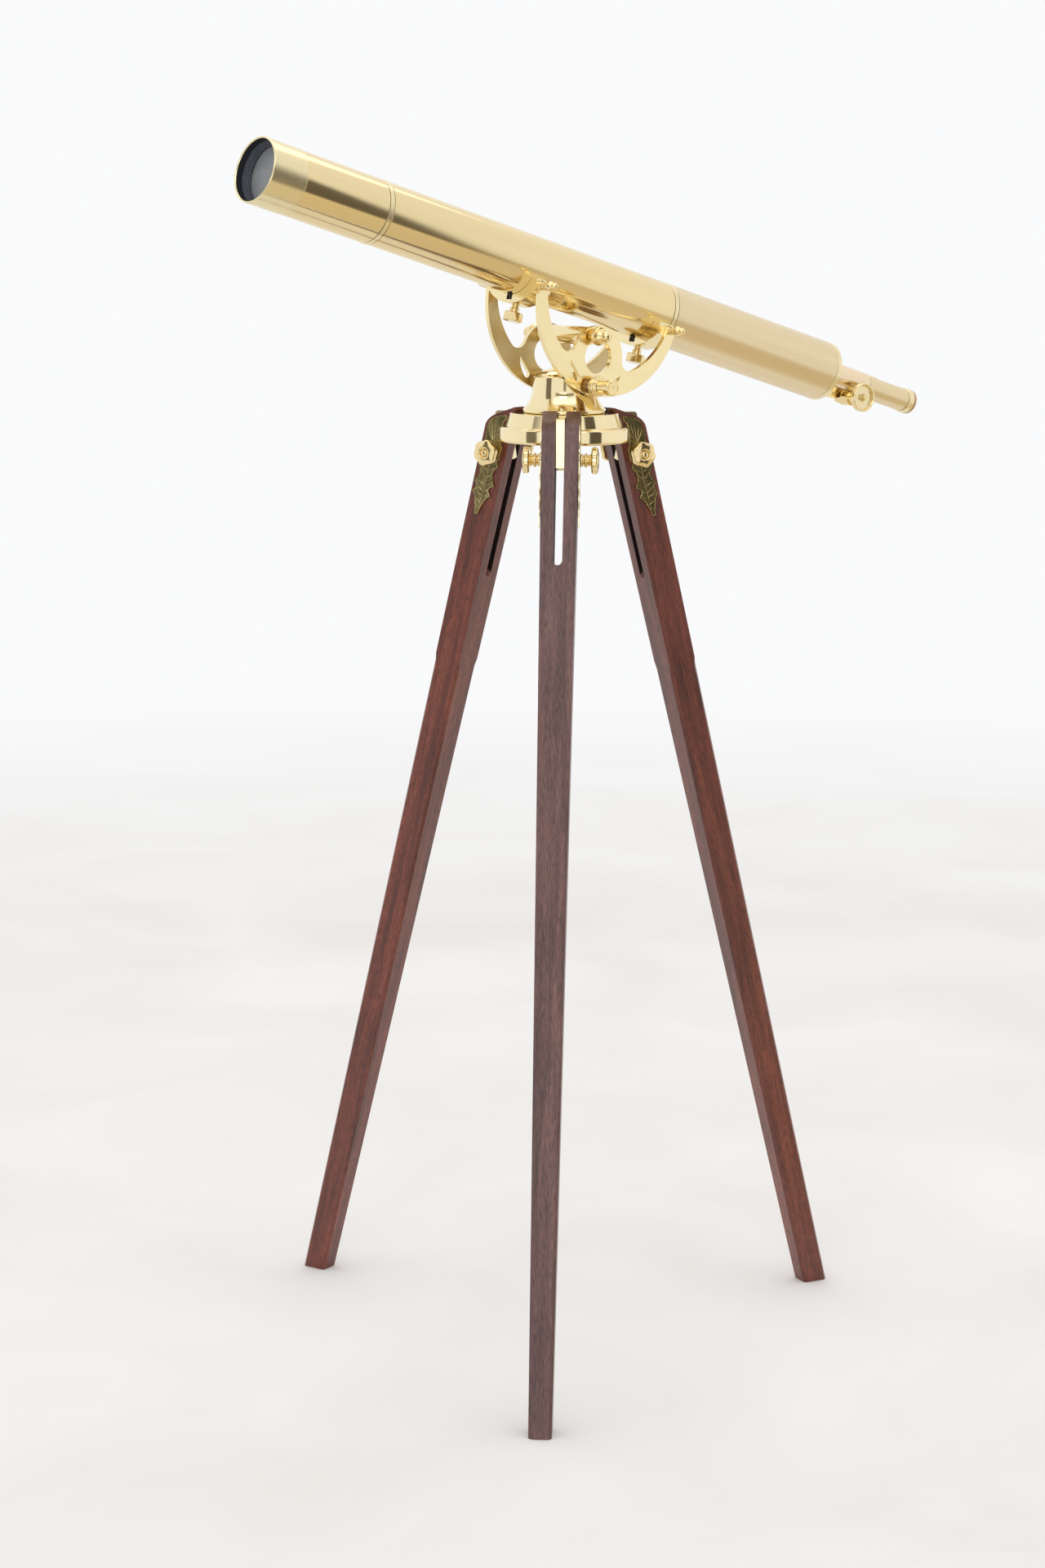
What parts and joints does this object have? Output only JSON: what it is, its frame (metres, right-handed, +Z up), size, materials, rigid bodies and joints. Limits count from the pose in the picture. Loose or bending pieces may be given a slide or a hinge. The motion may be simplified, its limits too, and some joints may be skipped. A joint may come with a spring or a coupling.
{
  "type": "telescope on tripod",
  "caption": "Brass refracting telescope with rack focusing, held in a crescent-plate altitude cradle on a turning head and a wooden tripod.",
  "frame": {"origin": "on the floor, midway between the extremes of the whole object in X and Y", "axes": "+Z up; the objective end of the tube points towards -X and the eyepiece towards +X; the altitude axle lies along Y, with its clamp knob on the -Y side"},
  "size_m": [1.1578, 0.7518, 1.6316],
  "materials": {
    "hub_brass": "mirror polished",
    "polished_brass": "polished and lacquered",
    "satin_brass": "satin, pale gold",
    "gold_brass": "polished, warmer gold",
    "rose_brass": "polished, rosy gold",
    "antique_brass": "engraved, aged olive",
    "blackened_metal": "matt black inside",
    "mahogany": "stained and oiled",
    "rubber_pad": "matt",
    "lens_glass": "coated clear glass"
  },
  "bodies": {
    "tripod_head": {"tripod_hub": "hub_brass"},
    "turret": {"bell_turret": "hub_brass", "azimuth_bolt": "satin_brass"},
    "cradle": {"altitude_axle": "gold_brass", "crescent_plate_near": "satin_brass", "altitude_washer_near": "rubber_pad", "altitude_spacer_near": "gold_brass", "acorn_knob_near": "gold_brass", "horn_screw_front_near": "gold_brass", "horn_screw_rear_near": "gold_brass", "crescent_plate_far": "satin_brass", "altitude_washer_far": "rubber_pad", "altitude_spacer_far": "gold_brass", "acorn_knob_far": "gold_brass", "horn_screw_front_far": "gold_brass", "horn_screw_rear_far": "gold_brass", "clamp_washer": "blackened_metal", "spacer_sleeve": "polished_brass", "saddle_front": "gold_brass", "saddle_pad_front": "rubber_pad", "saddle_rear": "gold_brass", "saddle_pad_rear": "rubber_pad", "objective_ring": "satin_brass", "objective_cell": "blackened_metal", "objective_crown_lens": "lens_glass", "objective_flint_lens": "lens_glass", "lens_retaining_ring": "blackened_metal", "front_tube": "polished_brass", "front_joint_ring": "satin_brass", "main_tube": "polished_brass", "middle_joint_ring": "satin_brass", "rear_tube": "satin_brass", "end_cap": "satin_brass", "focus_collar": "rose_brass", "gland_ring": "satin_brass", "pinion_housing": "gold_brass"},
    "clamp_knob": {"clamp_knob": "gold_brass"},
    "thumbscrew_front": {"thumbscrew_front": "gold_brass"},
    "thumbscrew_rear": {"thumbscrew_rear": "gold_brass"},
    "drawtube": {"drawtube": "satin_brass", "erector_lens": "lens_glass", "eyepiece_ring": "satin_brass", "eye_lens": "lens_glass"},
    "pinion": {"pinion_shaft": "gold_brass", "focus_wheel": "gold_brass"},
    "leg_front": {"leg_front": "mahogany", "leaf_plate_front_a": "antique_brass", "leaf_plate_front_b": "antique_brass"},
    "leg_bolt_front": {"leg_knob_bolt_front": "gold_brass"},
    "leg_nut_front": {"leg_knob_nut_front": "gold_brass"},
    "leg_right": {"leg_right": "mahogany", "leaf_plate_right_a": "antique_brass", "leaf_plate_right_b": "antique_brass"},
    "leg_bolt_right": {"leg_knob_bolt_right": "gold_brass"},
    "leg_nut_right": {"leg_knob_nut_right": "gold_brass"},
    "leg_back": {"leg_back": "mahogany", "leaf_plate_back_a": "antique_brass", "leaf_plate_back_b": "antique_brass"},
    "leg_bolt_back": {"leg_knob_bolt_back": "gold_brass"},
    "leg_nut_back": {"leg_knob_nut_back": "gold_brass"}
  },
  "joints": [
    {"name": "azimuth_turn", "type": "hinge", "parent": "tripod_head", "child": "turret", "pos_m": [-0.0742, -0.04228, 1.2753], "axis": [0, 0, 1], "continuous": true},
    {"name": "altitude_tilt", "type": "hinge", "parent": "turret", "child": "cradle", "pos_m": [-0.0742, -0.04228, 1.313], "axis": [0, 1, 0], "range_deg": [-44, 12]},
    {"name": "clamp_knob_turn", "type": "hinge", "parent": "cradle", "child": "clamp_knob", "pos_m": [-0.0742, -0.12578, 1.313], "axis": [0, -1, 0], "range_deg": [0, 360]},
    {"name": "thumbscrew_front_turn", "type": "hinge", "parent": "cradle", "child": "thumbscrew_front", "pos_m": [-0.16214, -0.04228, 1.40569], "axis": [-0.2745, 0, -0.9616], "range_deg": [0, 360]},
    {"name": "thumbscrew_rear_turn", "type": "hinge", "parent": "cradle", "child": "thumbscrew_rear", "pos_m": [0.04941, -0.04228, 1.34531], "axis": [-0.2745, 0, -0.9616], "range_deg": [0, 360]},
    {"name": "focus_slide", "type": "slide", "parent": "cradle", "child": "drawtube", "axis": [0.9616, 0, -0.2745], "range_m": [-0.015, 0.035]},
    {"name": "focus_pinion_turn", "type": "hinge", "parent": "cradle", "child": "pinion", "pos_m": [0.45143, -0.04228, 1.2782], "axis": [0, 1, 0], "range_deg": [-143.3, 334.3]},
    {"name": "leg_front_fold", "type": "hinge", "parent": "tripod_head", "child": "leg_front", "pos_m": [-0.13873, -0.11471, 1.219], "axis": [0.7466, -0.6652, 0], "range_deg": [0, 13.5]},
    {"name": "leg_bolt_front_turn", "type": "hinge", "parent": "leg_front", "child": "leg_bolt_front", "pos_m": [-0.1126, -0.13799, 1.219], "axis": [0.7466, -0.6652, 0], "range_deg": [0, 360]},
    {"name": "leg_nut_front_turn", "type": "hinge", "parent": "leg_front", "child": "leg_nut_front", "pos_m": [-0.16486, -0.09143, 1.219], "axis": [-0.7466, 0.6652, 0], "range_deg": [0, 360]},
    {"name": "leg_right_fold", "type": "hinge", "parent": "tripod_head", "child": "leg_right", "pos_m": [0.02078, -0.06195, 1.219], "axis": [0.2028, 0.9792, 0], "range_deg": [0, 13.5]},
    {"name": "leg_bolt_right_turn", "type": "hinge", "parent": "leg_right", "child": "leg_bolt_right", "pos_m": [0.02788, -0.02768, 1.219], "axis": [0.2028, 0.9792, 0], "range_deg": [0, 360]},
    {"name": "leg_nut_right_turn", "type": "hinge", "parent": "leg_right", "child": "leg_nut_right", "pos_m": [0.01368, -0.09623, 1.219], "axis": [-0.2028, -0.9792, 0], "range_deg": [0, 360]},
    {"name": "leg_back_fold", "type": "hinge", "parent": "tripod_head", "child": "leg_back", "pos_m": [-0.10466, 0.04981, 1.219], "axis": [-0.9494, -0.314, 0], "range_deg": [0, 13.5]},
    {"name": "leg_bolt_back_turn", "type": "hinge", "parent": "leg_back", "child": "leg_bolt_back", "pos_m": [-0.13789, 0.03882, 1.219], "axis": [-0.9494, -0.314, 0], "range_deg": [0, 360]},
    {"name": "leg_nut_back_turn", "type": "hinge", "parent": "leg_back", "child": "leg_nut_back", "pos_m": [-0.07143, 0.0608, 1.219], "axis": [0.9494, 0.314, 0], "range_deg": [0, 360]}
  ],
  "couplings": [
    {"joint": "focus_pinion_turn", "follows": "focus_slide", "rad_per_m": 166.67}
  ]
}
